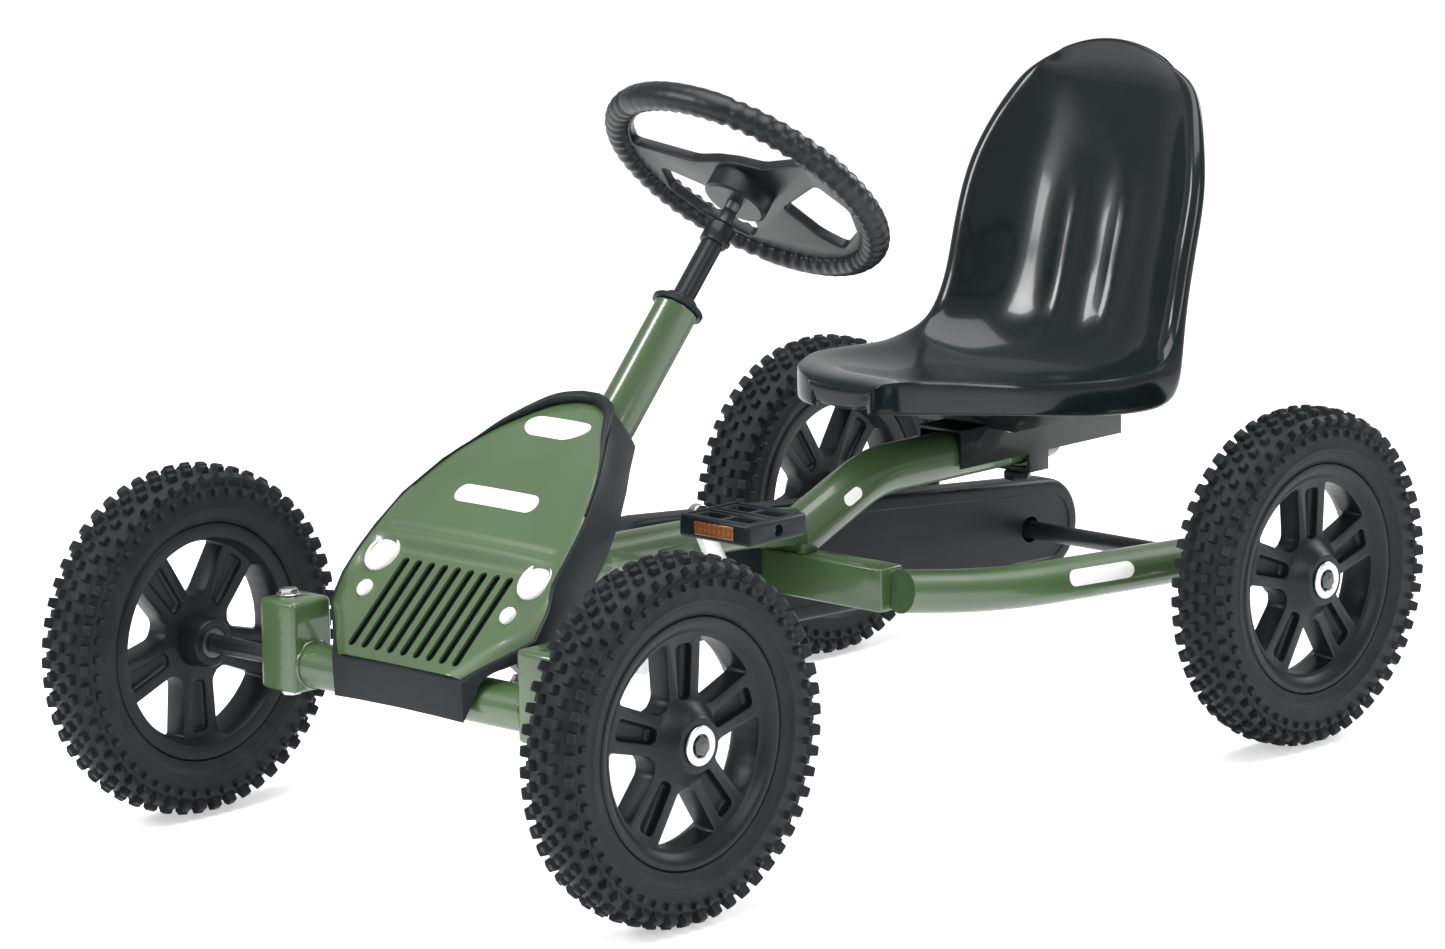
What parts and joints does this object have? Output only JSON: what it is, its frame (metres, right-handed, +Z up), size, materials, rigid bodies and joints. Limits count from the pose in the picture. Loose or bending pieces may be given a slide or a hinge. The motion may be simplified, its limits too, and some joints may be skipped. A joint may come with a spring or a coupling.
{
  "type": "pedal go kart",
  "caption": "Child's pedal go kart with knobby tyres, a bent tubular frame, a swinging front axle, a moulded nose, an enclosed chain drive, a bucket seat and a raked steering wheel.",
  "frame": {"origin": "on the ground, midway between the axles and on the middle plane", "axes": "+Z up, -Y the way the kart drives, +X the driver's left"},
  "size_m": [0.66, 1.141, 0.6422],
  "materials": {
    "tyre": "matt black rubber with a knobby tread",
    "wheel_plastic": "moulded black plastic, satin",
    "bright_steel": "zinc-plated steel",
    "dark_steel": "dark steel",
    "frame_paint": "glossy green powder coat",
    "nose_paint": "glossy green moulding",
    "trim_plastic": "moulded black plastic",
    "grip_plastic": "soft black moulding",
    "seat_plastic": "glossy black moulding",
    "black_paint": "black powder coat",
    "reflector": "amber reflector"
  },
  "bodies": {
    "chassis": {"head_tube": "frame_paint", "main_beam": "frame_paint", "crank_bearing_left": "dark_steel", "crank_bearing_right": "dark_steel", "front_fork": "frame_paint", "swing_bolt": "bright_steel", "cross_tube": "frame_paint", "seat_tube": "frame_paint", "rail_left": "frame_paint", "rail_right": "frame_paint", "rear_bearing_left": "dark_steel", "rear_bearing_right": "dark_steel", "head_collar": "trim_plastic", "head_bush": "trim_plastic", "nose_panel": "nose_paint", "nose_shell": "trim_plastic", "chain": "dark_steel", "guard_inner": "trim_plastic", "guard_outer": "trim_plastic"},
    "front_axle": {"front_axle": "frame_paint", "kingpin_left": "bright_steel", "kingpin_right": "bright_steel"},
    "knuckle_left": {"knuckle_left": "dark_steel"},
    "knuckle_right": {"knuckle_right": "dark_steel"},
    "tie_rod_left": {"tie_rod_left": "bright_steel"},
    "tie_rod_right": {"tie_rod_right": "bright_steel"},
    "wheel_front_left": {"tyre_front_left": "tyre", "rim_front_left": "wheel_plastic", "bearing_front_left": "dark_steel", "hub_ring_front_left": "bright_steel", "axle_nut_front_left": "dark_steel"},
    "wheel_front_right": {"tyre_front_right": "tyre", "rim_front_right": "wheel_plastic", "bearing_front_right": "dark_steel", "hub_ring_front_right": "bright_steel", "axle_nut_front_right": "dark_steel"},
    "rear_axle": {"rear_axle": "dark_steel", "rear_sprocket": "bright_steel", "tyre_rear_left": "tyre", "rim_rear_left": "wheel_plastic", "hub_ring_rear_left": "bright_steel", "axle_nut_rear_left": "dark_steel"},
    "wheel_rear_right": {"tyre_rear_right": "tyre", "rim_rear_right": "wheel_plastic", "bearing_rear_right": "dark_steel", "hub_ring_rear_right": "bright_steel", "axle_nut_rear_right": "dark_steel"},
    "crank": {"crank_right": "bright_steel", "crank_left": "bright_steel", "chainring": "bright_steel"},
    "pedal_left": {"pedal_left": "trim_plastic", "reflector_left": "reflector"},
    "pedal_right": {"pedal_right": "trim_plastic", "reflector_right": "reflector"},
    "steering_column": {"steering_column": "dark_steel"},
    "steering_wheel": {"steering_post": "dark_steel", "steering_wheel": "grip_plastic"},
    "seat": {"seat_shell": "seat_plastic", "seat_bracket": "black_paint"},
    "seat_knob": {"seat_knob": "trim_plastic"}
  },
  "joints": [
    {"name": "axle_swing", "type": "hinge", "parent": "chassis", "child": "front_axle", "pos_m": [0, -0.4135, 0.157], "axis": [0, 1, 0], "range_deg": [-6, 6]},
    {"name": "steering", "type": "hinge", "parent": "chassis", "child": "steering_column", "pos_m": [0, -0.0953, 0.4402], "axis": [0, 0.6665, 0.7455], "range_deg": [-28, 28]},
    {"name": "steer_left", "type": "hinge", "parent": "front_axle", "child": "knuckle_left", "pos_m": [0.166, -0.4135, 0.157], "axis": [0, 0, 1], "range_deg": [-28, 28]},
    {"name": "steer_right", "type": "hinge", "parent": "front_axle", "child": "knuckle_right", "pos_m": [-0.166, -0.4135, 0.157], "axis": [0, 0, 1], "range_deg": [-28, 28]},
    {"name": "tie_left", "type": "hinge", "parent": "knuckle_left", "child": "tie_rod_left", "pos_m": [0.166, -0.3585, 0.131], "axis": [0, 0, 1], "range_deg": [-28, 28]},
    {"name": "tie_right", "type": "hinge", "parent": "knuckle_right", "child": "tie_rod_right", "pos_m": [-0.166, -0.3585, 0.131], "axis": [0, 0, 1], "range_deg": [-28, 28]},
    {"name": "front_left_spin", "type": "hinge", "parent": "knuckle_left", "child": "wheel_front_left", "pos_m": [0.295, -0.4135, 0.157], "axis": [1, 0, 0], "continuous": true},
    {"name": "front_right_spin", "type": "hinge", "parent": "knuckle_right", "child": "wheel_front_right", "pos_m": [-0.295, -0.4135, 0.157], "axis": [1, 0, 0], "continuous": true},
    {"name": "rear_axle_spin", "type": "hinge", "parent": "chassis", "child": "rear_axle", "pos_m": [0, 0.4135, 0.157], "axis": [1, 0, 0], "continuous": true},
    {"name": "rear_right_spin", "type": "hinge", "parent": "chassis", "child": "wheel_rear_right", "pos_m": [-0.295, 0.4135, 0.157], "axis": [1, 0, 0], "continuous": true},
    {"name": "crank_spin", "type": "hinge", "parent": "chassis", "child": "crank", "pos_m": [0, -0.11, 0.19], "axis": [1, 0, 0], "continuous": true},
    {"name": "pedal_left_spin", "type": "hinge", "parent": "crank", "child": "pedal_left", "pos_m": [0.132, -0.15313, 0.27465], "axis": [1, 0, 0], "continuous": true},
    {"name": "pedal_right_spin", "type": "hinge", "parent": "crank", "child": "pedal_right", "pos_m": [-0.132, -0.06687, 0.10535], "axis": [1, 0, 0], "continuous": true},
    {"name": "wheel_height", "type": "slide", "parent": "steering_column", "child": "steering_wheel", "axis": [0, 0.6665, 0.7455], "range_m": [0, 0.04]},
    {"name": "seat_slide", "type": "slide", "parent": "chassis", "child": "seat", "axis": [0, 1, 0], "range_m": [-0.05, 0.03]},
    {"name": "knob_turn", "type": "hinge", "parent": "seat", "child": "seat_knob", "pos_m": [0, 0.362, 0.222], "axis": [0, 0, 1], "range_deg": [0, 360]}
  ],
  "couplings": [
    {"joint": "steer_left", "follows": "steering", "ratio": 1},
    {"joint": "steer_right", "follows": "steering", "ratio": 1},
    {"joint": "tie_left", "follows": "steering", "ratio": -1},
    {"joint": "tie_right", "follows": "steering", "ratio": -1},
    {"joint": "crank_spin", "follows": "rear_axle_spin", "ratio": 0.66667}
  ]
}
